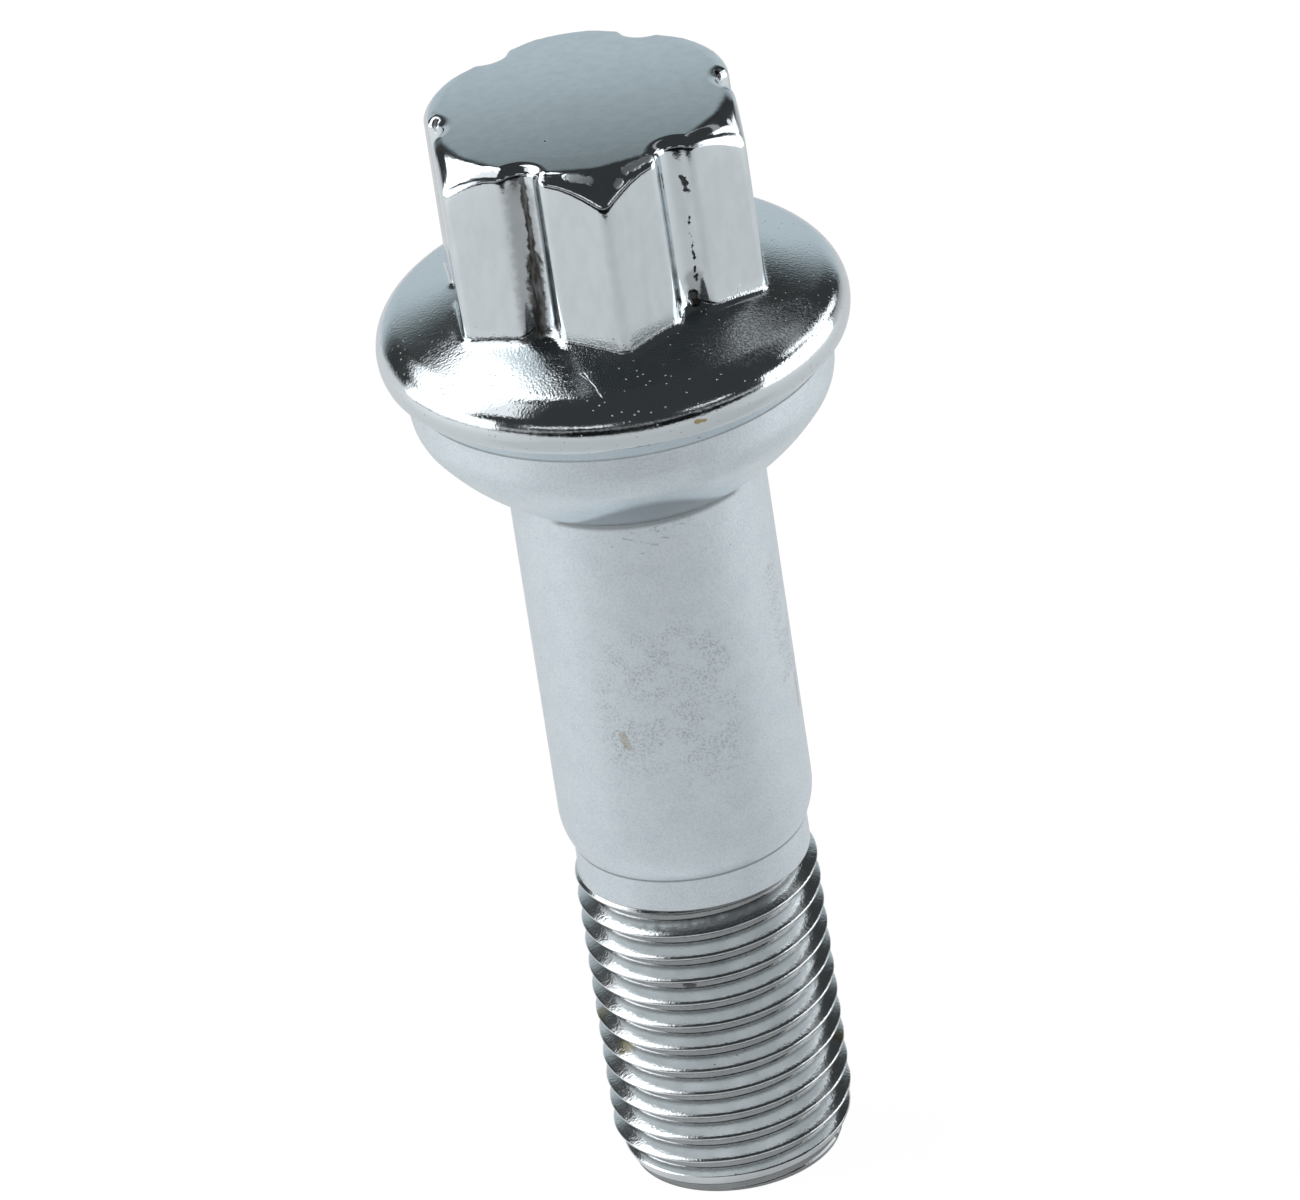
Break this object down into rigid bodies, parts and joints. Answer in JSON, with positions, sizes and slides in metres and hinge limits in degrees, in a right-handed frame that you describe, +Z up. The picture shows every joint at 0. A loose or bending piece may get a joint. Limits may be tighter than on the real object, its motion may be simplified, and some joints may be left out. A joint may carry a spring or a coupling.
{
  "type": "wheel bolt",
  "caption": "Wheel bolt with a fluted hexagon head, a sloping flange, a ball seat, a plain shank and a fine thread. It clamps a wheel to its hub.",
  "frame": {"origin": "middle of the flat face at the threaded end, on which the bolt stands", "axes": "+Z up along the bolt's axis towards the head; a corner of the hexagon points to -Y"},
  "size_m": [0.0264, 0.0264, 0.0674],
  "materials": {
    "plated_steel": "bright plating on the head and flange, satin plating on the seat and shank"
  },
  "bodies": {
    "root": {"wheel_bolt": "plated_steel"}
  },
  "joints": []
}
